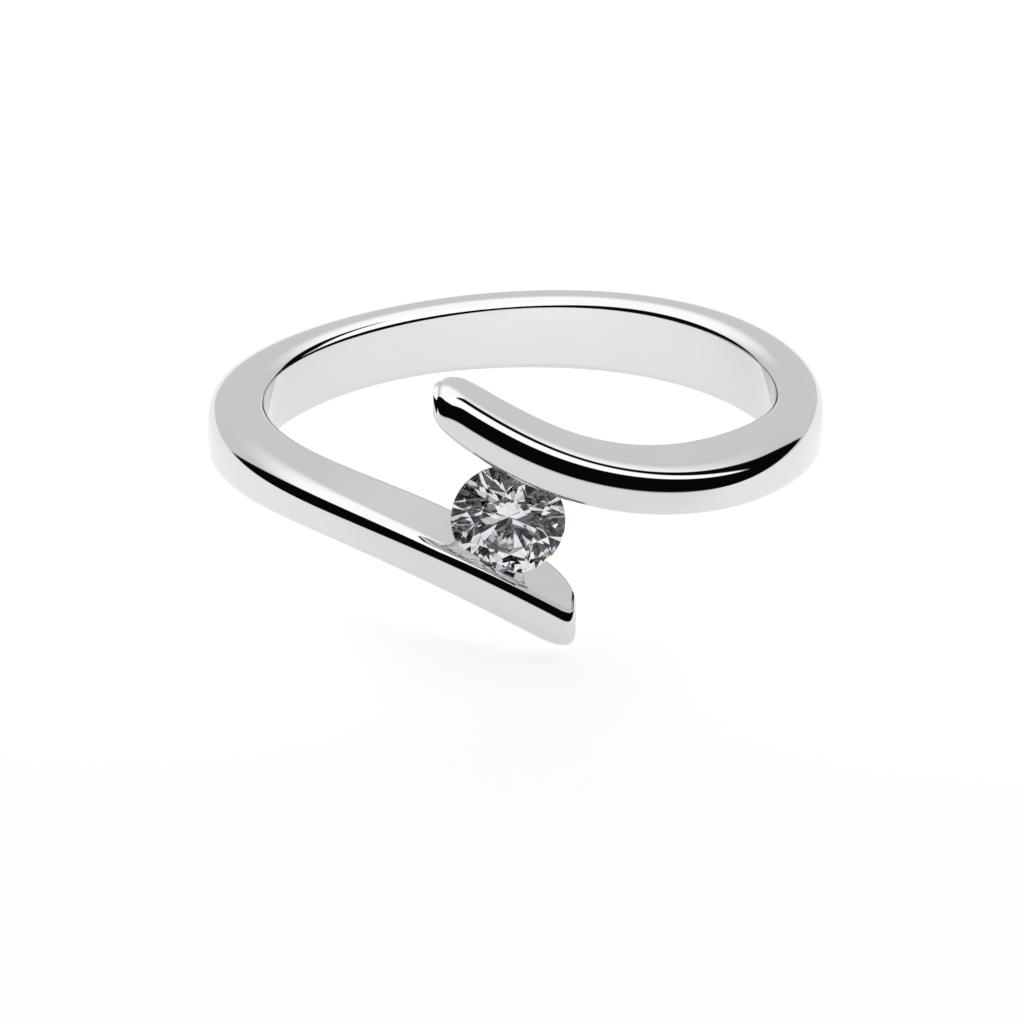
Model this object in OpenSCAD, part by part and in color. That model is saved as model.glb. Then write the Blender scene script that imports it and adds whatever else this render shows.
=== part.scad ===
/* [Finger hole] */
// Inner diameter of the ring
inner_d = 17; // [16:0.5:20]
// Rounding of the finger hole's lower edge
lower_inner_round = 0.22; // [0.12:0.01:0.3]

/* [Arms] */
// Angle from the back of the ring to the left arm's end, measured round the outside
left_end = 190.4; // [188:0.2:192]
// The same angle to the right arm's end
right_end = 191.5; // [189:0.5:192]
// Rounding of the lower outer edge
lower_round = 0.42; // [0.3:0.02:0.5]
// Rounding of the lower outer edge at the left arm's end, towards which it grows
lower_end_round = 0.84; // [0.5:0.02:0.9]

/* [Left arm's end] */
// How far back from the end the rounding into the lower face begins
left_low_reach = 1.2; // [0.8:0.1:1.4]
// What that rounding takes off at the end
left_low_cut = 1; // [0.6:0.1:1.1]
// How far back the rounding into the upper face begins
left_high_reach = 0.16; // [0.1:0.02:0.3]
// What that rounding takes off at the end
left_high_cut = 0.1; // [0.06:0.02:0.16]

/* [Right arm's end] */
// How far back from the end the rounding into the lower face begins
right_low_reach = 1.1; // [0.8:0.1:1.4]
// What that rounding takes off at the end
right_low_cut = 0.42; // [0.3:0.02:0.5]
// How far back the rounding into the upper face begins
right_high_reach = 1; // [0.8:0.1:1.2]
// What that rounding takes off at the end
right_high_cut = 1.1; // [0.7:0.1:1.2]

/* [Both arms' ends] */
// How far back from the end the rounding into the outer face begins
outer_reach = 0.4; // [0.3:0.05:0.5]
// What that rounding takes off at the end
outer_cut = 0.4; // [0.2:0.05:0.45]
// How far back the rounding into the finger hole begins
inner_reach = 1.6; // [1.4:0.1:1.8]
// What that rounding takes off at the end
inner_cut = 2.1; // [1.5:0.1:2.2]

/* [Stone] */
// Diameter of the stone at its girdle
stone_d = 3.58; // [3.4:0.02:3.7]
// Distance of the girdle's middle from the finger hole's axis
girdle_out = 10.72; // [10.6:0.02:10.9]
// Width across the table's corners, as a share of the stone's diameter
table_share = 0.53; // [0.52:0.01:0.6]
// Slope of the eight main crown facets
crown_slope = 33; // [32:0.5:36]
// Slope of the eight main pavilion facets
pavilion_slope = 40.25; // [40:0.05:42]
// Thickness of the girdle, as a share of the stone's diameter
girdle_share = 0.035; // [0.02:0.005:0.05]
// How far the star facets reach from the table to the girdle
star_share = 0.48; // [0.45:0.01:0.55]
// How far the lower girdle facets reach from the girdle to the point
lower_share = 0.79; // [0.7:0.01:0.84]
// Angle by which the stone is turned about its own axis
stone_turn = 5.5; // [0:0.5:22.5]

/* [Seat] */
// Gap between the stone and the groove that grips it
seat_gap = 0.03; // [0.02:0.01:0.05]
// Slope of both sides of the groove
seat_slope = 45; // [43:1:48]

/* [Rest] */
// Angle by which the ring leans back where it lies on an arm's end and on its own back
lean_back = 8.43; // [7.4:0.01:9.4]
// Angle by which it also leans to its left
lean_left = 0.96; // [0:0.01:2]

/* [Hidden] */

// Guide values of the band, a row for each station round the finger hole. The angle is counted
// from the back, minus along the left arm and plus along the right arm. The edges are heights
// above the middle of the back, and the wall is the metal's thickness outside the finger hole.
// The upper face runs into the sides over four arcs: a bend and a roll at the outside, and a
// roll and a bend at the finger hole. The crown is the angle to which the outer face bulges
// below its bend, and the lean is the angle at which the upper face rises inwards.
// A smooth curve follows each column closely without passing through every value.
ANGLE = 0;
LOWER = 1;
UPPER = 2;
WALL = 3;
BEND = 4;
ROLL = 5;
INNER_BEND = 6;
INNER_ROLL = 7;
CROWN = 8;
LEAN = 9;
STATIONS = [
    // angle, lower edge, upper edge, wall, bend, roll, inner bend, inner roll, crown, lean
    [-200, -5.70, -4.16, 3.32, 0.42, 0.55, 0.15, 0.50,  0,  9.0],
    [-175, -2.37, -0.74, 3.55, 0.42, 0.60, 0.15, 0.60,  0,  3.0],
    [-150, -1.04,  0.44, 2.85, 0.43, 0.80, 0.15, 0.60,  1,  0],
    [-125, -1.08,  0.70, 2.15, 0.80, 1.10, 0.15, 0.60,  9,  0],
    [-100, -1.24,  0.73, 1.84, 0.75, 1.05, 0.15, 0.45, 12,  1.5],
    [ -75, -1.46,  0.83, 2.01, 0.45, 1.20, 0.15, 0.70,  4,  2.5],
    [ -50, -1.30,  1.04, 2.05, 0.40, 1.80, 0.18, 0.80,  0,  0.5],
    [ -25, -1.07,  1.26, 2.19, 0.40, 1.90, 0.16, 0.80,  0,  0.5],
    [   0, -1.02,  1.50, 2.35, 0.40, 1.90, 0.10, 0.75,  0,  0.5],
    [  25, -0.95,  1.68, 2.17, 0.40, 1.80, 0.15, 0.80,  0,  1.0],
    [  50, -1.08,  1.55, 2.01, 0.40, 1.50, 0.26, 0.80,  0,  2.5],
    [  75, -1.24,  1.07, 1.74, 0.45, 1.00, 0.16, 0.55,  4,  5.0],
    [ 100, -0.91,  0.93, 1.50, 0.90, 1.10, 0.15, 0.35,  9,  4.0],
    [ 125, -0.47,  1.23, 2.10, 0.85, 1.40, 0.15, 0.35, 10,  0.5],
    [ 150, -0.10,  1.32, 3.50, 0.72, 1.05, 0.15, 0.35,  3,  0],
    [ 175,  0.80,  2.53, 3.48, 0.78, 1.25, 0.15, 0.95,  0,  0],
    [ 200,  4.32,  5.97, 2.96, 0.82, 1.35, 0.15, 1.00,  0, -6.0]
];
last = len(STATIONS) - 1;
station_step = STATIONS[1][ANGLE] - STATIONS[0][ANGLE];

bore_r = inner_d / 2;
// The swept form reaches this far into the finger hole, which is cut through it last
bore_overlap = 0.03;
// From the first angle the cross-sections turn from square to the finger hole, and from the
// second on they lie parallel to the stone's axis
turn_start = 172;
turn_end = 188;
// From this angle on the left arm's lower outer rounding grows towards the end
grow_start = 90;
// Angle between two cross-sections along the band, and the number that share each arm's end
section_step = 4;
tip_sections = 8;
// Radius of the crown, and angles at which the bends run into the rolls
crown_radius = 3;
bend_end = 55;
inner_bend_start = 135;
// Steps of the lower roundings of a cross-section
lower_inner_steps = 3;
lower_outer_steps = 5;
// Steps of its crown, bend and roll, and of its inner roll and inner bend
over_steps = [1, 4, 2];
into_steps = [2, 2];
// Least rounding that is left at the corners of an arm's end face
least_round = 0.08;
// Share of an upper rounding that the outer edge takes too. The rest leans the face inwards.
outer_share = 0.4;
// Straight steps that each girdle facet takes round the girdle
girdle_steps = 4;

stone_r = stone_d / 2;
half_girdle = girdle_share * stone_d / 2;
table_r = table_share * stone_r;
star_in = table_r * cos(22.5);
star_out = star_in + star_share * (stone_r - star_in);
table_h = half_girdle + (stone_r - table_r) * tan(crown_slope);
star_h = half_girdle + (stone_r - star_out * cos(22.5)) * tan(crown_slope);
lower_in = stone_r * (1 - lower_share);
lower_h = half_girdle + (stone_r - lower_in * cos(22.5)) * tan(pavilion_slope);
point_h = half_girdle + stone_r * tan(pavilion_slope);
// Distance from the stone's axis to the chord between neighbouring girdle facets
chord_in = stone_r * cos(11.25);

// A column's guide value at a row, run on in a straight line past both ends of the table
function guide(column, row) =
    row < 0 ? 2 * STATIONS[0][column] - STATIONS[1][column]
    : row > last ? 2 * STATIONS[last][column] - STATIONS[last - 1][column]
    : STATIONS[row][column];

// A column's smooth value at an angle: a cubic curve over the four nearest guide values
function follow(column, angle) =
    let (
        place = (angle - STATIONS[0][ANGLE]) / station_step,
        row = max(0, min(last - 1, floor(place))),
        t = place - row
    )
    guide(column, row - 1) * pow(1 - t, 3) / 6
    + guide(column, row) * (3 * pow(t, 3) - 6 * t * t + 4) / 6
    + guide(column, row + 1) * (1 + 3 * t + 3 * t * t - 3 * pow(t, 3)) / 6
    + guide(column, row + 2) * pow(t, 3) / 6;

// Angle by which a cross-section is turned from square to the finger hole
function turn(angle) =
    let (a = abs(angle))
    a < turn_start ? 0
    : a > turn_end ? a - (turn_start + turn_end) / 2
    : pow(a - turn_start, 2) / (2 * (turn_end - turn_start));

// How much a rounding of an arm's end takes off a face, at a distance from the end: a quarter of
// an ellipse that begins at the reach and takes the most at the end
function taken(reach, most, distance) =
    let (left = max(0, 1 - distance / reach))
    most * (1 - sqrt(1 - left * left));

// A row of arcs that run into each other, as pairs of how far out and up they lie from the first
// point. The bounds are the angles at which each arc begins and the last one ends.
function bent(bounds, radii, steps, k = 0, start = [0, 0]) =
    k == len(radii) ? []
    : let (
        first = bounds[k],
        width = bounds[k + 1] - first,
        from = k == 0 ? 0 : 1,
        points = [for (i = [from : steps[k]])
            let (a = first + width * i / steps[k])
            start + radii[k] * [cos(a) - cos(first), sin(a) - sin(first)]]
    )
    concat(points, bent(bounds, radii, steps, k + 1, points[len(points) - 1]));

// A row of points moved in a cross-section, and drawn smaller if need be
function moved(points, depth, height, scale = 1) = [for (p = points) [depth, height] + scale * p];

// One cross-section, at an angle and at a distance from the nearer arm's end. Depth is
// measured outwards from the finger hole's wall along the cross-section.
function section(angle, end) =
    let (
        side = sign(angle),
        left = angle < 0,
        psi = turn(angle),
        outer_r = bore_r + follow(WALL, angle),
        inner_r = bore_r - bore_overlap,
        across = outer_r * cos(psi) - sqrt(inner_r * inner_r - pow(outer_r * sin(psi), 2)),
        cut_low = left ? taken(left_low_reach, left_low_cut, end)
            : taken(right_low_reach, right_low_cut, end),
        cut_high = left ? taken(left_high_reach, left_high_cut, end)
            : taken(right_high_reach, right_high_cut, end),
        cut_outer = taken(outer_reach, outer_cut, end),
        inner = taken(inner_reach, inner_cut, end),
        low = follow(LOWER, angle) + cut_low,
        high = follow(UPPER, angle) - outer_share * cut_high,
        outer = across - cut_outer,

        // The lower edges are plain quarter circles
        grown = max(0, (-angle - grow_start) / (left_end - grow_start)),
        low_edge = lower_round + (lower_end_round - lower_round) * grown,
        low_r = max(least_round, low_edge - max(cut_low, cut_outer)),
        inner_low = max(least_round, lower_inner_round - max(cut_low, cut_outer)),

        // The upper ones shrink at an arm's end to fit what is left of the section
        rise = tan(follow(LEAN, angle)) - (1 - outer_share) * cut_high / across,
        face = 90 - atan(rise),
        over = bent([0, follow(CROWN, angle), bend_end, face],
            [crown_radius, follow(BEND, angle), follow(ROLL, angle)], over_steps),
        into = bent([face, inner_bend_start, 180],
            [follow(INNER_ROLL, angle), follow(INNER_BEND, angle)], into_steps),
        over_end = over[len(over) - 1],
        into_end = into[len(into) - 1],
        needed_up = over_end[1] - over_end[0] * rise,
        kept = min(1, (high - low - low_r) / needed_up, (outer - inner) / (-over_end[0] - into_end[0])),
        into_depth = inner - kept * into_end[0],
        outline = concat(
            moved(bent([180, 270], [inner_low], [lower_inner_steps]), inner, low + inner_low),
            moved(bent([270, 360], [low_r], [lower_outer_steps]), outer - low_r, low),
            moved(over, outer, high - kept * needed_up, kept),
            moved(into, into_depth, high + (outer - into_depth) * rise, kept)
        )
    )
    [for (p = outline)
        let (back = across - p[0], lie = angle - side * psi)
        [outer_r * sin(angle) - back * sin(lie), outer_r * cos(angle) - back * cos(lie), p[1]]];

// Degrees of turn for a millimetre along the outside of an arm's end
tip_rate = 180 / (PI * (bore_r + follow(WALL, right_end)));
tip_reach = max(left_low_reach, left_high_reach, right_low_reach, right_high_reach,
    outer_reach, inner_reach);
plain_start = tip_reach * tip_rate - left_end;
plain_end = right_end - tip_reach * tip_rate;
plain_count = ceil((plain_end - plain_start) / section_step);
// Distances from the end, crowded towards it
tip_distances = [for (k = [0 : tip_sections - 1]) tip_reach * (1 - cos(90 * k / tip_sections))];

sections = concat(
    [for (d = tip_distances) section(d * tip_rate - left_end, d)],
    [for (k = [0 : plain_count])
        section(plain_start + (plain_end - plain_start) * k / plain_count, tip_reach)],
    [for (k = [tip_sections - 1 : -1 : 0]) section(right_end - tip_distances[k] * tip_rate, tip_distances[k])]
);

// The band as swept, with nothing cut from it
module swept_band() {
    count = len(sections[0]);
    rows = len(sections);
    sides = [for (i = [0 : rows - 2], j = [0 : count - 1])
        let (a = i * count + j, b = i * count + (j + 1) % count)
        each [[a, b + count, b], [a, a + count, b + count]]];
    caps = [[for (j = [0 : count - 1]) j], [for (j = [count - 1 : -1 : 0]) (rows - 1) * count + j]];
    polyhedron(points = [for (s = sections) each s], faces = concat(sides, caps), convexity = 10);
}

module finger_hole() {
    cylinder(r = bore_r, h = inner_d, center = true, $fn = 180);
}

// Puts what is drawn round +Z on the stone's axis, with +Z pointing away from the finger
module on_stone_axis() {
    translate([0, -girdle_out, 0]) rotate([90, 0, 0]) children();
}

// The groove's form: two cones that meet at the girdle
module seat() {
    r = stone_r + seat_gap;
    peak = half_girdle + r * tan(seat_slope);
    rotate_extrude($fn = 120)
        polygon([[0, -peak], [r, -half_girdle], [r, half_girdle], [0, peak]]);
}

// A point round the stone's axis
function round_point(radius, azimuth, height) = [radius * cos(azimuth), radius * sin(azimuth), height];

// Drop of the girdle's upper edge, or rise of its lower one, where a girdle facet bites deepest
function scallop(azimuth, slope) =
    (chord_in - stone_r * cos(azimuth % 22.5 - 11.25)) * tan(slope);

// The round brilliant cut, its axis along +Z and the middle of its girdle at the origin
module brilliant() {
    upper_slope = atan((star_h - half_girdle) / (chord_in - star_out * cos(11.25)));
    lower_slope = atan((lower_h - half_girdle) / (chord_in - lower_in * cos(11.25)));
    round_step = 22.5 / girdle_steps;
    count = 16 * girdle_steps;
    points = concat(
        [for (k = [0 : 7]) round_point(table_r, 45 * k, table_h)],
        [for (k = [0 : 7]) round_point(star_out, 45 * k + 22.5, star_h)],
        [for (i = [0 : count - 1]) let (a = i * round_step)
            round_point(stone_r, a, half_girdle + scallop(a, upper_slope))],
        [for (i = [0 : count - 1]) let (a = i * round_step)
            round_point(stone_r, a, -half_girdle - scallop(a, lower_slope))],
        [for (k = [0 : 7]) round_point(lower_in, 45 * k + 22.5, -lower_h)],
        [[0, 0, -point_h]]
    );
    // First point of each ring of points
    star = 8;
    upper = 16;
    lower = upper + count;
    inner = lower + count;
    tip = inner + 8;
    faces = concat(
        [[for (k = [7 : -1 : 0]) k]],
        [for (k = [0 : 7]) [k, (k + 1) % 8, star + k]],
        [for (k = [0 : 7]) [k, star + k, upper + 2 * k * girdle_steps, star + (k + 7) % 8]],
        [for (f = [0 : 15]) concat([star + floor(f / 2)],
            [for (i = [girdle_steps : -1 : 0]) upper + (f * girdle_steps + i) % count])],
        [for (i = [0 : count - 1])
            [upper + i, upper + (i + 1) % count, lower + (i + 1) % count, lower + i]],
        [for (f = [0 : 15]) concat([inner + floor(f / 2)],
            [for (i = [0 : girdle_steps]) lower + (f * girdle_steps + i) % count])],
        [for (k = [0 : 7]) [tip, inner + (k + 7) % 8, lower + 2 * k * girdle_steps, inner + k]]
    );
    polyhedron(points = points, faces = faces, convexity = 4);
}

// A point's place once the ring leans
function leant(p) =
    let (
        y = p[1] * cos(lean_back) + p[2] * sin(lean_back),
        z = p[2] * cos(lean_back) - p[1] * sin(lean_back)
    )
    [p[0] * cos(lean_left) - z * sin(lean_left), y, p[0] * sin(lean_left) + z * cos(lean_left)];

leant_points = [for (s = sections, p = s) leant(p)];
function least(axis) = min([for (p = leant_points) p[axis]]);
function most(axis) = max([for (p = leant_points) p[axis]]);

// Lays a piece down as the ring rests by itself, the middle of its outline at the origin
module at_rest() {
    translate([-(least(0) + most(0)) / 2, -(least(1) + most(1)) / 2, -least(2)])
        rotate([-lean_back, -lean_left, 0]) children();
}

module band() {
    color("silver") at_rest() difference() {
        swept_band();
        finger_hole();
        on_stone_axis() seat();
    }
}

module diamond() {
    color("aliceblue") at_rest() on_stone_axis() rotate([0, 0, stone_turn]) brilliant();
}

band();
diamond();
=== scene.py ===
"""A polished bypass ring with one round diamond, on a pale studio floor.

Lengths in the classes are millimetres in the ring's own frame: +Z runs along the middle of the
finger hole, the stone faces -Y and the back of the ring is at +Y. A resting pose turns that frame
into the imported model's, in metres. The floor's lengths and the camera's range are metres too.
"""
import logging
import math
from dataclasses import dataclass, field
from enum import Enum
from typing import Any

import bpy
import numpy as np
from mathutils import Matrix


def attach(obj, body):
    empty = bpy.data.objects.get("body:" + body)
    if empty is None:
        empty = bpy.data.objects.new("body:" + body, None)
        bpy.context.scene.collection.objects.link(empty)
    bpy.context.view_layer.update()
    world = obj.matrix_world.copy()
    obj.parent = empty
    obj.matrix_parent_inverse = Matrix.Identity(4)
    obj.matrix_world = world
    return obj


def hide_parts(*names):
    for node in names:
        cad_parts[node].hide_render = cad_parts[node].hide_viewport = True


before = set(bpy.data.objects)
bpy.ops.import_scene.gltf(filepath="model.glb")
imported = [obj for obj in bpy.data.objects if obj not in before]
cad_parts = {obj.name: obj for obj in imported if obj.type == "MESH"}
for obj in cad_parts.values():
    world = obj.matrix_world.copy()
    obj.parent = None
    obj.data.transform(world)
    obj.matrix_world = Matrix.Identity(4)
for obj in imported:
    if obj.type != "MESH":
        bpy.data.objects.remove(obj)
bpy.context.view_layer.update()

LOG = logging.getLogger("ring")
# Metres in a millimetre
METRES = 0.001
# Width of the photograph
PHOTO_PIXELS = 1024
WHITE = (1.0, 1.0, 1.0, 1.0)
# Bounces that light may take, enough for it to find its way out of the stone
LIGHT_BOUNCES = 32
# Sockets of a Mix node for colours, by number because its other kinds share their names
MIX_FACTOR, MIX_FIRST, MIX_SECOND = 0, 6, 7
MIX_RESULT = 2
# The brilliant's main facets, its facets along the girdle, and the angles between its facets
MAINS = 8
GIRDLE_FACETS = 2 * MAINS
MAIN_ANGLE = 360 / MAINS
HALF_ANGLE = MAIN_ANGLE / 2
QUARTER_ANGLE = MAIN_ANGLE / 4
# What a mesh carries through a cut, and the level above which a mark of 0 or 1 counts as set
SMOOTH_NORMAL = "smooth_normal"
OUTER_FACE = "outer_face"
MARKED = 0.5
# The least length that anything is divided by
TINY = 1e-9


# Shader nodes

class Value:
    """A number in a node tree that adds Math nodes when an expression uses it."""

    def __init__(self, nodes: "Nodes", socket: "bpy.types.NodeSocket | None") -> None:
        """Wraps an output socket of a tree, or none for a node that has no output."""
        self.nodes = nodes
        self.socket = socket

    def maths(self, operation: str, *others: Any) -> "Value":
        """Adds one Math node.

        Args:
            operation: The Math node's operation.
            others: The values after this one, numbers or Values.

        Returns:
            The node's result.
        """
        inputs = dict(enumerate((self, *others)))
        return self.nodes.add("ShaderNodeMath", {"operation": operation}, inputs)

    def flipped(self, operation: str, other: float) -> "Value":
        """Adds a Math node with a plain number as its first value."""
        settings = {"operation": operation}
        return self.nodes.add("ShaderNodeMath", settings, {0: other, 1: self})

    def __add__(self, other: Any) -> "Value":
        """This value plus another."""
        return self.maths("ADD", other)

    def __radd__(self, other: float) -> "Value":
        """A number plus this value."""
        return self.maths("ADD", other)

    def __sub__(self, other: Any) -> "Value":
        """This value minus another."""
        return self.maths("SUBTRACT", other)

    def __rsub__(self, other: float) -> "Value":
        """A number minus this value."""
        return self.flipped("SUBTRACT", other)

    def __mul__(self, other: Any) -> "Value":
        """This value times another."""
        return self.maths("MULTIPLY", other)

    def __rmul__(self, other: float) -> "Value":
        """A number times this value."""
        return self.maths("MULTIPLY", other)

    def __truediv__(self, other: Any) -> "Value":
        """This value divided by another."""
        return self.maths("DIVIDE", other)

    def __rtruediv__(self, other: float) -> "Value":
        """A number divided by this value."""
        return self.flipped("DIVIDE", other)

    def __neg__(self) -> "Value":
        """This value with its sign changed."""
        return self.maths("MULTIPLY", -1.0)

    def between(self, start: float, end: float, low: float = 0.0, high: float = 1.0,
                smooth: bool = True) -> "Value":
        """A ramp over this value.

        Args:
            start: Where the ramp begins.
            end: Where the ramp ends.
            low: The result at and before the start.
            high: The result at and after the end.
            smooth: Whether the ramp eases in and out.

        Returns:
            The ramp's result.
        """
        settings = {"interpolation_type": "SMOOTHSTEP" if smooth else "LINEAR", "clamp": True}
        inputs = {"Value": self, "From Min": start, "From Max": end, "To Min": low, "To Max": high}
        return self.nodes.add("ShaderNodeMapRange", settings, inputs)


class Nodes:
    """A node tree that nodes are added to."""

    def __init__(self, tree: bpy.types.NodeTree) -> None:
        """Empties the tree."""
        self.tree = tree
        tree.nodes.clear()

    def add(self, kind: str, settings: dict[str, Any] | None = None,
            inputs: dict[Any, Any] | None = None, output: Any = 0) -> Value:
        """Adds one node.

        Args:
            kind: The node's type.
            settings: The node's properties, set before its sockets.
            inputs: Plain values and links of its input sockets, by name or index.
            output: The name or index of the output that the result wraps.

        Returns:
            The chosen output.
        """
        node = self.tree.nodes.new(kind)
        for name, value in (settings or {}).items():
            setattr(node, name, value)
        for name, value in (inputs or {}).items():
            if isinstance(value, Value):
                self.tree.links.new(value.socket, node.inputs[name])
            else:
                node.inputs[name].default_value = value
        return Value(self, node.outputs[output] if len(node.outputs) else None)

    def dot(self, vector: Value, axis: tuple[float, ...]) -> Value:
        """The length of a vector along a fixed axis."""
        settings = {"operation": "DOT_PRODUCT"}
        return self.add("ShaderNodeVectorMath", settings, {0: vector, 1: axis}, "Value")

    def mix(self, factor: Any, first: Value, second: Value) -> Value:
        """A Mix Shader: the first shader at factor 0, the second at 1."""
        return self.add("ShaderNodeMixShader", None, {0: factor, 1: first, 2: second})


def new_material(name: str) -> tuple[bpy.types.Material, Nodes]:
    """Makes a material that has no nodes yet.

    Args:
        name: The material's name.

    Returns:
        The material and its tree.
    """
    made = bpy.data.materials.new(name)
    made.use_nodes = True
    return made, Nodes(made.node_tree)


# The ring's place and the camera's

@dataclass(frozen=True)
class Rest:
    """How the ring lies on the floor by itself."""
    lean_back: float = 8.43
    lean_left: float = 0.96
    # Where the middle of the ring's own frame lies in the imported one
    shift: tuple[float, float, float] = (0.13690, 0.69396, 2.55486)

    def axes(self) -> np.ndarray:
        """The ring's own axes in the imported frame.

        Returns:
            A matrix whose columns are the ring's X, Y and Z.
        """
        back, left = math.radians(self.lean_back), math.radians(self.lean_left)
        leaning = np.array([
            [1.0, 0.0, 0.0],
            [0.0, math.cos(back), math.sin(back)],
            [0.0, -math.sin(back), math.cos(back)],
        ])
        tilting = np.array([
            [math.cos(left), 0.0, -math.sin(left)],
            [0.0, 1.0, 0.0],
            [math.sin(left), 0.0, math.cos(left)],
        ])
        return tilting @ leaning

    def laid(self, points: np.ndarray) -> np.ndarray:
        """Points of the ring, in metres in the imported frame."""
        return (points @ self.axes().T + np.array(self.shift)) * METRES

    def turned(self, directions: np.ndarray) -> np.ndarray:
        """Directions of the ring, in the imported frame."""
        return directions @ self.axes().T

    def coordinates(self, nodes: Nodes, position: Value, scale: float) -> list[Value]:
        """A position or direction in a shader, seen in the ring's own frame.

        Args:
            nodes: The tree.
            position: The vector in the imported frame.
            scale: Millimetres for each unit of the vector, or 0 for a direction.

        Returns:
            The ring's X, Y and Z.
        """
        found = []
        for axis in self.axes().T:
            along = nodes.dot(position, tuple(axis))
            origin = float(axis @ np.array(self.shift))
            found.append(along * scale - origin if scale else along)
        return found


@dataclass(frozen=True)
class PhotoCamera:
    """The camera, at the photograph's angle to the ring."""
    rest: Rest
    elevation: float = 18.87
    azimuth: float = 1.98
    roll: float = 0.16
    # Its place from the ring's middle: back along the view, right and up
    distance: float = 160.1
    aim_right: float = -0.259
    aim_up: float = -3.223
    focal_pixels: float = 4804.0
    sensor: float = 36.0
    # Its range in metres
    nearest: float = 0.01
    farthest: float = 50.0

    def build(self) -> bpy.types.Object:
        """Adds the camera and makes it the scene's.

        Returns:
            The camera object.
        """
        up, round_, roll = (math.radians(a) for a in (self.elevation, self.azimuth, self.roll))
        back = np.array([math.sin(round_) * math.cos(up), -math.cos(round_) * math.cos(up),
                         math.sin(up)])
        level = np.array([math.cos(round_), math.sin(round_), 0.0])
        above = np.cross(back, level)
        right = math.cos(roll) * level + math.sin(roll) * above
        top = -math.sin(roll) * level + math.cos(roll) * above
        place = self.aim_right * right + self.aim_up * top + self.distance * back

        camera = bpy.data.objects.new("camera", bpy.data.cameras.new("camera"))
        camera.data.sensor_width = self.sensor
        camera.data.lens = self.focal_pixels * self.sensor / PHOTO_PIXELS
        camera.data.clip_start = self.nearest
        camera.data.clip_end = self.farthest
        turn = Matrix(self.rest.turned(np.array([right, top, back])).T.tolist()).to_4x4()
        camera.matrix_world = Matrix.Translation(self.rest.laid(place)) @ turn
        bpy.context.scene.collection.objects.link(camera)
        bpy.context.scene.camera = camera
        return camera


# Finishes

@dataclass(frozen=True)
class WhiteGold:
    """White gold as it comes from the polishing wheel, with faint lines along the band."""
    rest: Rest
    colour: tuple[float, float, float, float] = (0.70, 0.698, 0.70, 1.0)
    edge_tint: tuple[float, float, float, float] = (0.95, 0.955, 0.96, 1.0)
    smoothest: float = 0.015
    dullest: float = 0.06
    # The haze: its share of the dullness, its noise, the levels over which it dulls and tints the
    # metal, and how much of the metal's tone it leaves
    haze_share: float = 0.6
    haze_scale: float = 0.35
    haze_detail: float = 4.0
    haze_roughness: float = 0.55
    haze_dulls: tuple[float, float] = (0.35, 0.75)
    haze_tints: tuple[float, float] = (0.3, 0.7)
    hazed_tone: float = 0.985
    # The lines: the radius at which their length is measured, their noise for each millimetre
    # along and across the band, the levels over which they dull it, and their depth in metres
    line_radius: float = 10.0
    line_length: float = 0.5
    lines_across: float = 22.0
    line_detail: float = 3.0
    line_roughness: float = 0.6
    line_dulls: tuple[float, float] = (0.45, 0.8)
    line_depth: float = 6e-8

    def material(self) -> bpy.types.Material:
        """Builds the metal.

        Returns:
            The new material.
        """
        made, nodes = new_material("polished_white_gold")
        place = nodes.add("ShaderNodeTexCoord", output="Object")
        x, y, z = self.rest.coordinates(nodes, place, 1.0 / METRES)
        # Millimetres along the band, across it and out from the finger
        out = (x * x + y * y).maths("SQRT")
        along = x.maths("ARCTAN2", y) * self.line_radius
        lined = nodes.add("ShaderNodeCombineXYZ", None, {
            0: along * self.line_length, 1: z * self.lines_across, 2: out * self.lines_across})
        lines = nodes.add("ShaderNodeTexNoise", None, {
            "Vector": lined, "Scale": 1.0, "Detail": self.line_detail,
            "Roughness": self.line_roughness})
        hazed = nodes.add("ShaderNodeCombineXYZ", None, {0: x, 1: y, 2: z})
        haze = nodes.add("ShaderNodeTexNoise", None, {
            "Vector": hazed, "Scale": self.haze_scale, "Detail": self.haze_detail,
            "Roughness": self.haze_roughness})
        hazed_most = self.dullest * self.haze_share
        roughness = (haze.between(*self.haze_dulls, self.smoothest, hazed_most)
                     + lines.between(*self.line_dulls, 0.0, self.dullest - hazed_most))
        tone = nodes.add("ShaderNodeMix", {"data_type": "RGBA"}, {
            MIX_FACTOR: haze.between(*self.haze_tints),
            MIX_FIRST: self.colour,
            MIX_SECOND: tuple(c * self.hazed_tone for c in self.colour[:3]) + (1.0,),
        }, MIX_RESULT)
        bump = nodes.add("ShaderNodeBump", None, {
            "Strength": 1.0, "Distance": self.line_depth, "Height": lines})
        shader = nodes.add("ShaderNodeBsdfPrincipled", None, {
            "Base Color": tone, "Metallic": 1.0, "Roughness": roughness,
            "Specular Tint": self.edge_tint, "Normal": bump})
        nodes.add("ShaderNodeOutputMaterial", None, {"Surface": shader})
        return made


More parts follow.
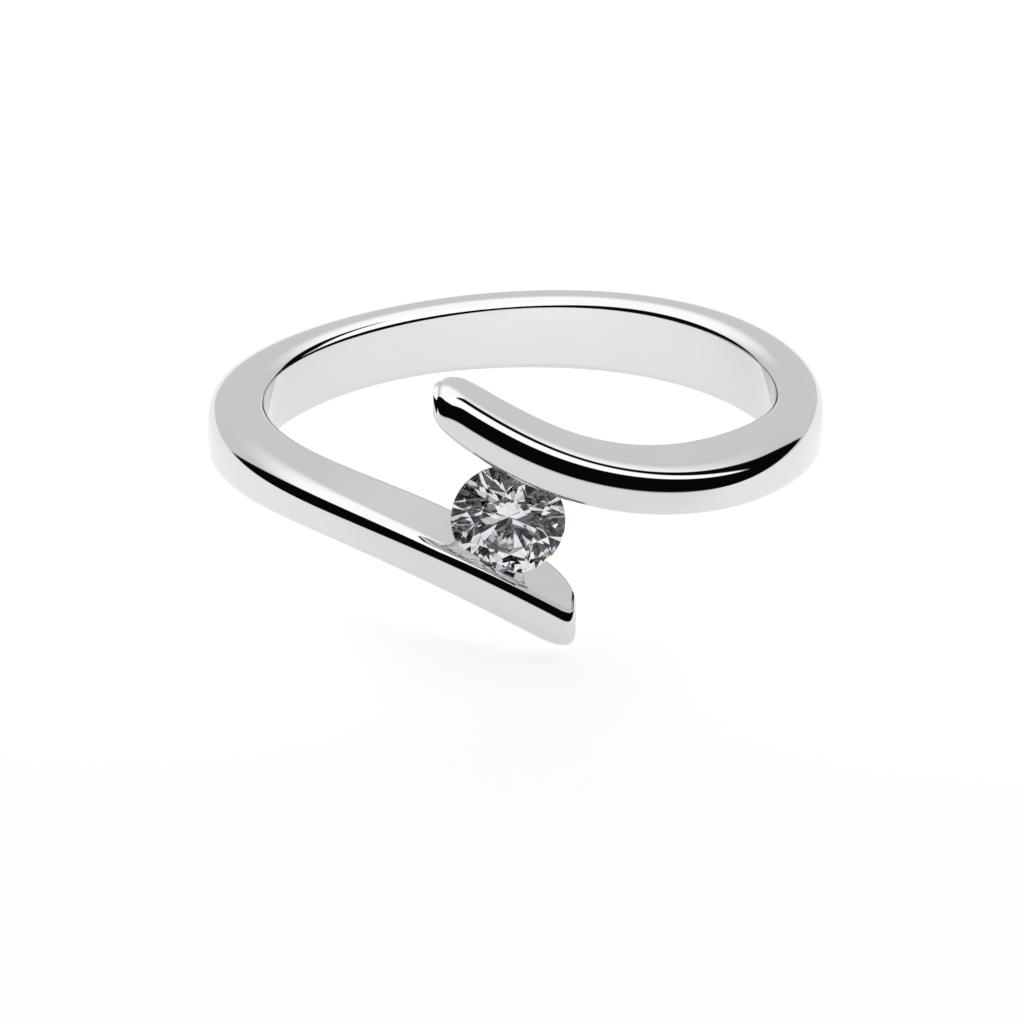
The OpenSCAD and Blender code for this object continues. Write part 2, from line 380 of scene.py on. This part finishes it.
@dataclass(frozen=True)
class ClearDiamond:
    """Colourless diamond: full inner reflection, fire where the light leaves, a fine girdle."""
    rest: Rest
    stone_r: float
    refraction: float = 2.417
    # The outer faces mirror less than the inner ones, so that the pattern inside shows clearly
    surface: float = 1.4
    # Share of the light that each reflection keeps
    kept: tuple[float, float, float, float] = (0.95, 0.95, 0.955, 1.0)
    # The light that leaves splits into a warm and a cool part, whose colours add up to white
    warm: tuple[float, float, float, float] = (0.74, 0.54, 0.24, 1.0)
    warm_refraction: float = 2.375
    cool: tuple[float, float, float, float] = (0.26, 0.46, 0.76, 1.0)
    cool_refraction: float = 2.455
    clarity: float = 0.985
    girdle_tone: tuple[float, float, float, float] = (0.9, 0.9, 0.92, 1.0)
    girdle_roughness: float = 0.25
    girdle_refraction: float = 1.6
    girdle_clearness: float = 0.6
    # Share of the stone's radius at which the girdle's finish begins
    girdle_share: float = 0.9985

    def material(self) -> bpy.types.Material:
        """Builds the stone's material.

        Returns:
            The new material.
        """
        made, nodes = new_material("clear_diamond")
        body = (self.clarity, self.clarity, self.clarity, 1.0)
        mirror = nodes.add("ShaderNodeBsdfAnisotropic", None, {
            "Color": self.kept, "Roughness": 0.0})
        inner, outer = (nodes.add("ShaderNodeFresnel", None, {"IOR": index})
                        for index in (self.refraction, self.surface))
        entering, warm, cool = (nodes.add("ShaderNodeBsdfRefraction", None, {
            "Color": tint, "Roughness": 0.0, "IOR": index}) for tint, index in (
                (body, self.refraction), (self.warm, self.warm_refraction),
                (self.cool, self.cool_refraction)))
        leaving = nodes.add("ShaderNodeAddShader", None, {0: warm, 1: cool})
        inside = nodes.add("ShaderNodeNewGeometry", output="Backfacing")
        through = nodes.mix(inside, entering, leaving)
        gem = nodes.mix(inside * inner + (1 - inside) * outer, through, mirror)

        place = nodes.add("ShaderNodeTexCoord", output="Object")
        x, _, z = self.rest.coordinates(nodes, place, 1.0 / METRES)
        out = (x * x + z * z).maths("SQRT")
        rim = out.maths("GREATER_THAN", self.girdle_share * self.stone_r)
        frosted = nodes.add("ShaderNodeBsdfPrincipled", None, {
            "Base Color": self.girdle_tone, "Roughness": self.girdle_roughness,
            "IOR": self.girdle_refraction, "Transmission Weight": self.girdle_clearness})
        nodes.add("ShaderNodeOutputMaterial", None, {"Surface": nodes.mix(rim, gem, frosted)})
        return made


@dataclass(frozen=True)
class PaleFloor:
    """A pale matt studio floor that glows a little, so that the ring's shadow stays soft.

    It glows a little less in front of the ring, and still less far behind it. This dimming is
    painted shade that darkens the floor the metal mirrors there; the glow itself is painted light.
    """
    tone: tuple[float, float, float, float] = (0.5, 0.5, 0.503, 1.0)
    roughness: float = 0.9
    # Painted light: the floor's own glow, which softens the ring's shadow; the lower front and far
    # glows are painted shade
    glow: float = 0.84
    front_glow: float = 0.72
    far_glow: float = 0.5
    # Where each change begins and ends, in metres from the ring towards the back
    front: tuple[float, float] = (-0.004, -0.020)
    far: tuple[float, float] = (0.045, 0.09)

    def material(self) -> bpy.types.Material:
        """Builds the floor's finish.

        Returns:
            The new material.
        """
        made, nodes = new_material("pale_floor")
        place = nodes.add("ShaderNodeTexCoord", output="Object")
        behind = nodes.dot(place, (0.0, 1.0, 0.0))
        # Painted shade: the glow falls off in front of the ring and far behind it, so the floor the
        # metal mirrors there is darker
        painted_dimming = (behind.between(*self.far, 0.0, self.glow - self.far_glow)
                + behind.between(*self.front, 0.0, self.glow - self.front_glow))
        level = self.glow - painted_dimming
        painted_glow = nodes.add("ShaderNodeCombineColor", None, {
            name: level for name in ("Red", "Green", "Blue")})
        # Painted light: the floor glows at this level, as though it were a lamp
        shader = nodes.add("ShaderNodeBsdfPrincipled", None, {
            "Base Color": self.tone, "Roughness": self.roughness, "Specular IOR Level": 0.0,
            "Emission Color": painted_glow, "Emission Strength": 1.0})
        nodes.add("ShaderNodeOutputMaterial", None, {"Surface": shader})
        return made


# The pieces

def tangent_of(degrees: float) -> float:
    """The tangent of an angle in degrees."""
    return math.tan(math.radians(degrees))


def cosine_of(degrees: float) -> float:
    """The cosine of an angle in degrees."""
    return math.cos(math.radians(degrees))


class Column(Enum):
    """A column of the band's guide values."""
    ANGLE = 0
    LOWER = 1
    UPPER = 2
    WALL = 3
    BEND = 4
    ROLL = 5
    INNER_BEND = 6
    INNER_ROLL = 7
    CROWN = 8
    LEAN = 9


@dataclass
class Stone:
    """The round brilliant cut."""
    rest: Rest
    diameter: float = 3.58
    girdle_out: float = 10.72
    table_share: float = 0.53
    crown_slope: float = 33.0
    pavilion_slope: float = 40.25
    girdle_share: float = 0.035
    star_share: float = 0.48
    lower_share: float = 0.79
    girdle_steps: int = 8
    turn: float = 5.5

    @property
    def radius(self) -> float:
        """Half the stone's diameter."""
        return self.diameter / 2

    @property
    def half_girdle(self) -> float:
        """Half the girdle's thickness."""
        return self.girdle_share * self.diameter / 2

    def seated(self, points: np.ndarray) -> np.ndarray:
        """Points drawn round +Z, put on the stone's axis in the ring's frame."""
        return np.stack([points[:, 0], -self.girdle_out - points[:, 2], points[:, 1]], axis=1)

    def ring_of(self, radius: float, azimuths: np.ndarray, heights: Any) -> np.ndarray:
        """Points round the stone's axis.

        Args:
            radius: Their distance from the axis.
            azimuths: Their angles in degrees.
            heights: Their height, one number or one for each point.

        Returns:
            The points, a row each.
        """
        a = np.radians(azimuths + self.turn)
        return np.stack([radius * np.cos(a), radius * np.sin(a), heights + 0.0 * a], axis=1)

    def points(self) -> np.ndarray:
        """The stone's corners.

        Returns:
            Rings of points: table, stars, upper girdle, lower girdle, pavilion, point.
        """
        r, half = self.radius, self.half_girdle
        table_r = self.table_share * r
        star_in = table_r * cosine_of(HALF_ANGLE)
        star_out = star_in + self.star_share * (r - star_in)
        table_h = half + (r - table_r) * tangent_of(self.crown_slope)
        star_h = half + (r - star_out * cosine_of(HALF_ANGLE)) * tangent_of(self.crown_slope)
        lower_in = r * (1 - self.lower_share)
        lower_h = half + (r - lower_in * cosine_of(HALF_ANGLE)) * tangent_of(self.pavilion_slope)
        point_h = half + r * tangent_of(self.pavilion_slope)
        chord_in = r * cosine_of(QUARTER_ANGLE)
        upper_rate = (star_h - half) / (chord_in - star_out * cosine_of(QUARTER_ANGLE))
        lower_rate = (lower_h - half) / (chord_in - lower_in * cosine_of(QUARTER_ANGLE))

        mains = MAIN_ANGLE * np.arange(MAINS)
        rim = np.arange(GIRDLE_FACETS * self.girdle_steps) * HALF_ANGLE / self.girdle_steps
        bite = chord_in - r * np.cos(np.radians(rim % HALF_ANGLE - QUARTER_ANGLE))
        return np.concatenate([
            self.ring_of(table_r, mains, table_h),
            self.ring_of(star_out, mains + HALF_ANGLE, star_h),
            self.ring_of(r, rim, half + bite * upper_rate),
            self.ring_of(r, rim, -half - bite * lower_rate),
            self.ring_of(lower_in, mains + HALF_ANGLE, -lower_h),
            np.array([[0.0, 0.0, -point_h]]),
        ])

    def facets(self) -> list[list[int]]:
        """The stone's faces.

        Returns:
            Corner numbers of each face, anticlockwise as seen from outside.
        """
        steps = self.girdle_steps
        count = GIRDLE_FACETS * steps
        star, upper = MAINS, 2 * MAINS
        lower = upper + count
        inner = lower + count
        tip = inner + MAINS
        faces = [list(range(MAINS))]
        for k in range(MAINS):
            before, after, corner = (k - 1) % MAINS, (k + 1) % MAINS, 2 * k * steps
            faces.append([star + k, after, k])
            faces.append([star + before, upper + corner, star + k, k])
            faces.append([inner + k, lower + corner, inner + before, tip])
        for f in range(GIRDLE_FACETS):
            rim = [(f * steps + i) % count for i in range(steps + 1)]
            faces.append([star + f // 2] + [upper + i for i in rim])
            faces.append([inner + f // 2] + [lower + i for i in reversed(rim)])
        for i in range(count):
            j = (i + 1) % count
            faces.append([lower + i, lower + j, upper + j, upper + i])
        return faces

    def build(self, finish: ClearDiamond) -> bpy.types.Object:
        """Builds the brilliant and puts it in its seat.

        Args:
            finish: The stone's finish.

        Returns:
            The stone's object.
        """
        places = self.rest.laid(self.seated(self.points()))
        stone = new_piece("brilliant_stone", places, self.facets())
        stone.data.materials.append(finish.material())
        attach(stone, "root")
        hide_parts("diamond")
        return stone


@dataclass(frozen=True)
class Rounding:
    """The rounding of an arm's end into one face, a quarter of an ellipse.

    The reach is how far back from the end it begins, and the most what it takes off at the end.
    """
    reach: float
    most: float

    def taken(self, distance: np.ndarray) -> np.ndarray:
        """What it takes off the face, at distances from the end."""
        left = np.clip(1 - distance / self.reach, 0, 1)
        return self.most * (1 - np.sqrt(1 - left * left))


@dataclass
class Band:
    """The shank and both arms, one piece of metal with half of the seat in each arm."""
    rest: Rest
    stone: Stone
    bore_r: float = 8.5
    left_end: float = 190.4
    right_end: float = 191.5
    lower_round: float = 0.42
    lower_end_round: float = 0.84
    lower_inner_round: float = 0.22
    # What rounds an arm's end into its lower and upper faces, and into the sides
    left_low: Rounding = Rounding(1.2, 1.0)
    left_high: Rounding = Rounding(0.16, 0.1)
    right_low: Rounding = Rounding(1.1, 0.42)
    right_high: Rounding = Rounding(1.0, 1.1)
    outer_side: Rounding = Rounding(0.4, 0.4)
    inner_side: Rounding = Rounding(1.6, 2.1)
    # Share of an upper rounding that the outer edge takes too; the rest leans the face inwards
    outer_share: float = 0.4
    turn_start: float = 172.0
    turn_end: float = 188.0
    grow_start: float = 90.0
    least_round: float = 0.08
    crown_radius: float = 3.0
    bend_end: float = 55.0
    inner_bend_start: float = 135.0
    seat_gap: float = 0.03
    seat_slope: float = 45.0
    seat_steps: int = 256
    plain_steps: int = 380
    tip_steps: int = 32
    arc_steps: int = 8
    # Share of a step to either side over which the direction of the sweep is taken
    nudge: float = 1e-4
    # Guide values of the band: angle, lower edge, upper edge, wall, then of the upper edges the
    # outer bend, the outer roll, the inner bend and the inner roll, and in degrees the crown of the
    # outer face and the lean of the upper one
    stations: np.ndarray = field(default_factory=lambda: np.array([
        [-200, -5.70, -4.16, 3.32, 0.42, 0.55, 0.15, 0.50, 0, 9.0],
        [-175, -2.37, -0.74, 3.55, 0.42, 0.60, 0.15, 0.60, 0, 3.0],
        [-150, -1.04, 0.44, 2.85, 0.43, 0.80, 0.15, 0.60, 1, 0],
        [-125, -1.08, 0.70, 2.15, 0.80, 1.10, 0.15, 0.60, 9, 0],
        [-100, -1.24, 0.73, 1.84, 0.75, 1.05, 0.15, 0.45, 12, 1.5],
        [-75, -1.46, 0.83, 2.01, 0.45, 1.20, 0.15, 0.70, 4, 2.5],
        [-50, -1.30, 1.04, 2.05, 0.40, 1.80, 0.18, 0.80, 0, 0.5],
        [-25, -1.07, 1.26, 2.19, 0.40, 1.90, 0.16, 0.80, 0, 0.5],
        [0, -1.02, 1.50, 2.35, 0.40, 1.90, 0.10, 0.75, 0, 0.5],
        [25, -0.95, 1.68, 2.17, 0.40, 1.80, 0.15, 0.80, 0, 1.0],
        [50, -1.08, 1.55, 2.01, 0.40, 1.50, 0.26, 0.80, 0, 2.5],
        [75, -1.24, 1.07, 1.74, 0.45, 1.00, 0.16, 0.55, 4, 5.0],
        [100, -0.91, 0.93, 1.50, 0.90, 1.10, 0.15, 0.35, 9, 4.0],
        [125, -0.47, 1.23, 2.10, 0.85, 1.40, 0.15, 0.35, 10, 0.5],
        [150, -0.10, 1.32, 3.50, 0.72, 1.05, 0.15, 0.35, 3, 0],
        [175, 0.80, 2.53, 3.48, 0.78, 1.25, 0.15, 0.95, 0, 0],
        [200, 4.32, 5.97, 2.96, 0.82, 1.35, 0.15, 1.00, 0, -6.0],
    ]))

    def follow(self, column: Column, angle: np.ndarray) -> np.ndarray:
        """A column's smooth value at each angle.

        Args:
            column: The guide values to follow.
            angle: Angles in degrees from the back of the ring.

        Returns:
            The value at each angle.
        """
        angles = self.stations[:, Column.ANGLE.value]
        guide = self.stations[:, column.value]
        run = np.concatenate([[2 * guide[0] - guide[1]], guide, [2 * guide[-1] - guide[-2]]])
        place = (angle - angles[0]) / (angles[1] - angles[0])
        row = np.clip(np.floor(place).astype(int), 0, len(guide) - 2)
        t = place - row
        return (run[row] * (1 - t) ** 3 + run[row + 1] * (3 * t ** 3 - 6 * t * t + 4)
                + run[row + 2] * (1 + 3 * t + 3 * t * t - 3 * t ** 3) + run[row + 3] * t ** 3) / 6

    def turned(self, angle: np.ndarray) -> np.ndarray:
        """How far each cross-section is turned from square to the finger hole.

        Args:
            angle: Angles in degrees from the back of the ring.

        Returns:
            The turn at each angle, in degrees.
        """
        a = np.abs(angle)
        width = self.turn_end - self.turn_start
        eased = np.clip(a - self.turn_start, 0, None) ** 2 / (2 * width)
        return np.where(a > self.turn_end, a - (self.turn_start + self.turn_end) / 2, eased)

    @property
    def tip_rate(self) -> float:
        """Degrees of turn for a millimetre along the outside of an arm's end."""
        wall = self.follow(Column.WALL, np.array([self.right_end]))[0]
        return 180 / (math.pi * (self.bore_r + wall))

    def along(self, step: np.ndarray) -> tuple[np.ndarray, np.ndarray]:
        """Where each step of the sweep lies.

        Args:
            step: Steps from the left arm's end to the right arm's end.

        Returns:
            The angle from the back, and the distance from the nearer end.
        """
        reach = self.inner_side.reach
        middle = self.tip_steps + self.plain_steps / 2
        last = np.where(step < middle, self.left_end, self.right_end)
        nearer = np.minimum(step, 2 * self.tip_steps + self.plain_steps - step)
        end = reach * (1 - np.cos(np.radians(90 * np.clip(nearer / self.tip_steps, 0, 1))))
        left = reach * self.tip_rate - self.left_end
        right = self.right_end - reach * self.tip_rate
        plain = left + (right - left) * (step - self.tip_steps) / self.plain_steps
        tip = np.sign(step - middle) * (last - end * self.tip_rate)
        return np.where(nearer < self.tip_steps, tip, plain), end

    def bent(self, bounds: list[Any],
             radii: list[np.ndarray]) -> tuple[np.ndarray, np.ndarray, np.ndarray]:
        """A row of arcs that run into each other, in each cross-section.

        Args:
            bounds: The angle at which each arc begins and the last one ends, in degrees.
            radii: The radius of each arc.

        Returns:
            How far out and how far up each point lies from the first one, and the angle there.
        """
        out, up, angles = [], [], []
        begin_out = begin_up = 0.0
        for k, radius in enumerate(radii):
            first, last = (np.broadcast_to(b, radius.shape)[:, None] for b in bounds[k:k + 2])
            steps = np.arange(0 if k == 0 else 1, self.arc_steps + 1) / self.arc_steps
            a = first + (last - first) * steps
            first_r, a_r, last_r = np.radians(first), np.radians(a), np.radians(last)
            size = radius[:, None]
            out.append(begin_out + size * (np.cos(a_r) - np.cos(first_r)))
            up.append(begin_up + size * (np.sin(a_r) - np.sin(first_r)))
            angles.append(a_r)
            begin_out = begin_out + size * (np.cos(last_r) - np.cos(first_r))
            begin_up = begin_up + size * (np.sin(last_r) - np.sin(first_r))
        return tuple(np.concatenate(part, axis=1) for part in (out, up, angles))

    def sections(self, step: np.ndarray) -> tuple[np.ndarray, np.ndarray]:
        """Cross-sections of the band.

        Args:
            step: Steps along the sweep.

        Returns:
            The outline's points and its directions of travel, both indexed by section, point
            and axis.
        """
        angle, end = self.along(step)
        left = angle < 0
        psi = np.radians(self.turned(angle))
        outer_r = self.bore_r + self.follow(Column.WALL, angle)
        across = outer_r * np.cos(psi) - np.sqrt(self.bore_r ** 2 - (outer_r * np.sin(psi)) ** 2)
        cut_low = np.where(left, self.left_low.taken(end), self.right_low.taken(end))
        cut_high = np.where(left, self.left_high.taken(end), self.right_high.taken(end))
        cut_outer, inner = self.outer_side.taken(end), self.inner_side.taken(end)
        low = self.follow(Column.LOWER, angle) + cut_low
        high = self.follow(Column.UPPER, angle) - self.outer_share * cut_high
        outer = across - cut_outer

        # The lower edges are plain quarter circles
        grown = np.clip((-angle - self.grow_start) / (self.left_end - self.grow_start), 0, 1)
        low_edge = self.lower_round + (self.lower_end_round - self.lower_round) * grown
        low_r = np.maximum(self.least_round, low_edge - np.maximum(cut_low, cut_outer))
        inner_low = np.maximum(self.least_round,
                               self.lower_inner_round - np.maximum(cut_low, cut_outer))

        # The upper ones are tight at the side and roll wide onto the upper face. At an arm's end
        # they shrink to fit what is left of the section.
        crown = self.follow(Column.CROWN, angle)
        rise = (np.tan(np.radians(self.follow(Column.LEAN, angle)))
                - (1 - self.outer_share) * cut_high / across)
        face = 90 - np.degrees(np.arctan(rise))
        over = self.bent([0, crown, self.bend_end, face], [
            np.full_like(angle, self.crown_radius), self.follow(Column.BEND, angle),
            self.follow(Column.ROLL, angle)])
        into = self.bent([face, self.inner_bend_start, 180], [
            self.follow(Column.INNER_ROLL, angle), self.follow(Column.INNER_BEND, angle)])
        needed_out = -over[0][:, -1] - into[0][:, -1]
        needed_up = over[1][:, -1] - over[0][:, -1] * rise
        kept = np.minimum(1, np.minimum((high - low - low_r) / needed_up,
                                        (outer - inner) / needed_out))
        over, into = ((part[0] * kept[:, None], part[1] * kept[:, None], part[2])
                      for part in (over, into))
        over_up = high - over[0][:, -1] * rise - over[1][:, -1]
        into_out = inner - into[0][:, -1]
        into_up = high + (outer - into_out) * rise
        corners = [
            (inner, low + inner_low, *self.bent([180, 270], [inner_low])),
            (outer - low_r, low, *self.bent([270, 360], [low_r])),
            (outer, over_up, *over),
            (into_out, into_up, *into),
        ]
        lie = np.radians(angle) - np.sign(angle) * psi
        outwards = np.stack([np.sin(lie), np.cos(lie), np.zeros_like(lie)], axis=1)[:, None, :]
        upwards = np.array([0.0, 0.0, 1.0])
        turn = np.radians(angle)
        base = np.stack([outer_r * np.sin(turn), outer_r * np.cos(turn), np.zeros_like(turn)],
                        axis=1)[:, None, :] - across[:, None, None] * outwards
        points, travel = [], []
        for depth, height, out, up, a in corners:
            out = (depth[:, None] + out)[:, :, None]
            up = (height[:, None] + up)[:, :, None]
            points.append(base + out * outwards + up * upwards)
            travel.append(-np.sin(a)[:, :, None] * outwards + np.cos(a)[:, :, None] * upwards)
        return np.concatenate(points, axis=1), np.concatenate(travel, axis=1)

    def swept(self) -> tuple[np.ndarray, np.ndarray, list[list[int]]]:
        """The band with nothing cut from it.

        Returns:
            The points, the smooth surface's normals at them and the faces.
        """
        total = 2 * self.tip_steps + self.plain_steps
        steps = np.arange(total + 1, dtype=float)
        points, travel = self.sections(steps)
        ahead, _ = self.sections(np.clip(steps + self.nudge, 0, total))
        behind, _ = self.sections(np.clip(steps - self.nudge, 0, total))
        normals = np.cross(travel, ahead - behind)
        normals /= np.linalg.norm(normals, axis=2, keepdims=True)
        rows, count = points.shape[:2]
        faces = []
        for i in range(rows - 1):
            for j in range(count):
                a, b = i * count + j, i * count + (j + 1) % count
                faces.append([a, b, b + count, a + count])
        faces.append(list(range(count - 1, -1, -1)))
        faces.append([(rows - 1) * count + j for j in range(count)])
        return points.reshape(-1, 3), normals.reshape(-1, 3), faces

    def seat(self) -> bpy.types.Object:
        """The form that cuts the stone's groove: two cones that meet at the girdle.

        Returns:
            The cutter's object.
        """
        r = self.stone.radius + self.seat_gap
        half = self.stone.half_girdle
        peak = half + r * tangent_of(self.seat_slope)
        n = self.seat_steps
        a = np.radians(360 * np.arange(n) / n)
        circle = np.stack([r * np.cos(a), r * np.sin(a), np.full_like(a, half)], axis=1)
        points = np.concatenate([
            circle, circle * [1, 1, -1], [[0, 0, peak], [0, 0, -peak]]])
        faces = []
        for i in range(n):
            j = (i + 1) % n
            faces += [[i, j, 2 * n], [n + i, n + j, j, i], [n + j, n + i, 2 * n + 1]]
        return new_piece("seat_cutter", self.rest.laid(self.stone.seated(points)), faces)

    def build(self, finish: WhiteGold) -> bpy.types.Object:
        """Builds the band, cuts the seat and polishes it.

        Args:
            finish: The metal.

        Returns:
            The band's object.
        """
        points, normals, faces = self.swept()
        band = new_piece("bypass_band", self.rest.laid(points), faces)
        mark_corners(band.data, self.rest.turned(normals), True)
        cutter = self.seat()
        mark_corners(cutter.data, np.zeros((len(cutter.data.vertices), 3)), False)
        cut = band.modifiers.new("seat", "BOOLEAN")
        cut.operation = "DIFFERENCE"
        cut.solver = "EXACT"
        cut.object = cutter
        graph = bpy.context.evaluated_depsgraph_get()
        mesh = bpy.data.meshes.new_from_object(band.evaluated_get(graph))
        band.modifiers.clear()
        band.data = mesh
        mesh.name = "bypass_band"
        bpy.data.objects.remove(cutter)
        polish_corners(mesh)
        mesh.materials.clear()
        mesh.materials.append(finish.material())
        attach(band, "root")
        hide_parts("band")
        return band


def new_piece(name: str, points: np.ndarray, faces: list[list[int]]) -> bpy.types.Object:
    """Makes a mesh object from points and faces.

    Args:
        name: The object's name.
        points: Corners in metres.
        faces: Corner numbers of each face.

    Returns:
        The object, in the scene.
    """
    mesh = bpy.data.meshes.new(name)
    mesh.from_pydata(points.tolist(), [], faces)
    mesh.update()
    piece = bpy.data.objects.new(name, mesh)
    bpy.context.scene.collection.objects.link(piece)
    return piece


def mark_corners(mesh: bpy.types.Mesh, normals: np.ndarray, polished: bool) -> None:
    """Keeps each corner's smooth normal on a mesh, so that it outlasts a cut.

    Args:
        mesh: The mesh.
        normals: The smooth surface's normal at each vertex.
        polished: Whether the faces are outer ones, which take these normals.
    """
    kept = mesh.attributes.new(SMOOTH_NORMAL, "FLOAT_VECTOR", "CORNER")
    vertices = np.zeros(len(mesh.loops), dtype=int)
    mesh.loops.foreach_get("vertex_index", vertices)
    kept.data.foreach_set("vector", normals[vertices].ravel())
    outer = mesh.attributes.new(OUTER_FACE, "FLOAT", "FACE")
    outer.data.foreach_set("value", np.full(len(mesh.polygons), float(polished)))


def polish_corners(mesh: bpy.types.Mesh) -> None:
    """Gives a cut mesh its smooth normals back, and flat ones on the faces of the cut.

    Args:
        mesh: The mesh, with the attributes that mark_corners left.
    """
    corners = np.zeros(3 * len(mesh.loops))
    mesh.attributes[SMOOTH_NORMAL].data.foreach_get("vector", corners)
    corners = corners.reshape(-1, 3)
    outer = np.zeros(len(mesh.polygons))
    mesh.attributes[OUTER_FACE].data.foreach_get("value", outer)
    starts = np.zeros(len(mesh.polygons), dtype=int)
    totals = np.zeros(len(mesh.polygons), dtype=int)
    flats = np.zeros(3 * len(mesh.polygons))
    mesh.polygons.foreach_get("loop_start", starts)
    mesh.polygons.foreach_get("loop_total", totals)
    mesh.polygons.foreach_get("normal", flats)
    owner = np.repeat(np.arange(len(totals)), totals)
    flats = flats.reshape(-1, 3)[owner]
    lengths = np.linalg.norm(corners, axis=1, keepdims=True)
    smooth = np.where(lengths > MARKED, corners / np.maximum(lengths, TINY), flats)
    polished = outer > MARKED
    keep = polished[owner] & ((smooth * flats).sum(axis=1) > 0)
    LOG.info("band: %d faces, %d of the seat, %d corners left flat", len(totals),
             int((~polished).sum()), int((~keep & polished[owner]).sum()))
    mesh.attributes.remove(mesh.attributes[SMOOTH_NORMAL])
    mesh.attributes.remove(mesh.attributes[OUTER_FACE])
    mesh.shade_smooth()
    mesh.normals_split_custom_set(np.where(keep[:, None], smooth, flats).tolist())


# The studio

@dataclass(frozen=True)
class Surroundings:
    """Light that comes from far round the ring: a dark front, a white panel overhead, a grey back.

    Directions are the ring's own. The edges of the panel overhead are given where they cross the
    plane one unit above the ring, as lines: how far back they lie above the ring, and how much
    further back for each unit sideways. The bow adds to the latter. Levels are brightness, 1 being
    white in the picture, and heights are degrees above the ring's own plane.
    """
    rest: Rest
    dark: float = 0.003
    panel: float = 1.45
    left_back: float = -0.45
    left_slope: float = 0.8
    left_bow: float = 0.02
    right_back: float = -0.487
    right_slope: float = 0.452
    right_bow: float = 0.185
    # The least rise of a direction that the bow is worked out with
    bow_least: float = 0.01
    wedge_back: float = 0.087
    wedge_slope: float = 0.55
    wedge_end: float = -0.15
    wedge_end_slope: float = 1.43
    wedge_start: float = 0.35
    edge: float = 0.035
    back_high: float = 1.38
    back_low: float = 0.79
    back_top: float = 52.0
    back_bottom: float = 23.0
    front_horizon: float = 0.55
    floor_level: float = 1.1
    front_fade: float = 10.0
    # Degrees to either side of the horizon over which the upper and the lower half meet
    horizon_blur: float = 0.3

    def build(self) -> bpy.types.World:
        """Builds the world.

        Returns:
            The world, in the scene.
        """
        world = bpy.data.worlds.new("studio_light")
        world.use_nodes = True
        nodes = Nodes(world.node_tree)
        towards = nodes.add("ShaderNodeTexCoord", output="Generated")
        x, y, z = self.rest.coordinates(nodes, towards, 0.0)
        height = z.maths("ARCSINE") * (180 / math.pi)
        edge = self.edge
        bow = x * x / z.maths("MAXIMUM", self.bow_least)
        left = y + x * self.left_slope - z * self.left_back - bow * self.left_bow
        right_side = y - x * self.right_slope - z * self.right_back - bow * self.right_bow
        lit = left.between(-edge, edge) * right_side.between(-edge, edge)
        past_panel = (y - x * self.wedge_slope - z * self.wedge_back).between(-edge, edge)
        past_wedge = (y - x * self.wedge_end_slope - z * self.wedge_end).between(-edge, edge)
        right = (x - z * self.wedge_start).between(-edge, edge)
        grey = height.between(self.back_bottom, self.back_top, self.back_low, self.back_high)
        open_back = 1 - right * (1 - past_wedge)
        upper = lit * (self.panel + past_panel * (grey * open_back - self.panel)) + self.dark
        front = (-height).between(0.0, self.front_fade, self.front_horizon, self.floor_level, False)
        is_upper = height.between(-self.horizon_blur, self.horizon_blur)
        level = is_upper * upper + (1 - is_upper) * front
        shader = nodes.add("ShaderNodeBackground", None, {"Color": WHITE, "Strength": level})
        nodes.add("ShaderNodeOutputWorld", None, {"Surface": shader})
        bpy.context.scene.world = world
        return world


@dataclass(frozen=True)
class Floor:
    """The floor under the ring, a square whose lengths are metres."""
    half_width: float = 3.0
    drop: float = 1e-6

    def build(self, finish: PaleFloor) -> bpy.types.Object:
        """Lays the floor.

        Args:
            finish: The floor's finish.

        Returns:
            The floor's object.
        """
        w = self.half_width
        corners = np.array([[-w, -w, 0], [w, -w, 0], [w, w, 0], [-w, w, 0]]) - [0, 0, self.drop]
        floor = new_piece("floor", corners, [[0, 1, 2, 3]])
        floor.data.materials.append(finish.material())
        return floor


def set_light_paths() -> None:
    """Lets light go on long enough inside the stone, and shows tones as they are."""
    cycles = bpy.context.scene.cycles
    cycles.max_bounces = LIGHT_BOUNCES
    cycles.glossy_bounces = LIGHT_BOUNCES
    cycles.transmission_bounces = LIGHT_BOUNCES
    bpy.context.scene.view_settings.view_transform = "Standard"


def main() -> None:
    """Builds the ring and its studio, in order, and reports each piece."""
    logging.basicConfig(level=logging.INFO, format="%(name)s: %(message)s")
    rest = Rest()
    PhotoCamera(rest).build()
    Surroundings(rest).build()
    Floor().build(PaleFloor())
    set_light_paths()
    stone = Stone(rest)
    band = Band(rest, stone)
    diamond = ClearDiamond(rest, stone.radius)
    for piece in (stone.build(diamond), band.build(WhiteGold(rest))):
        LOG.info("%s: %d faces", piece.name, len(piece.data.polygons))


if __name__ == "__main__":
    main()
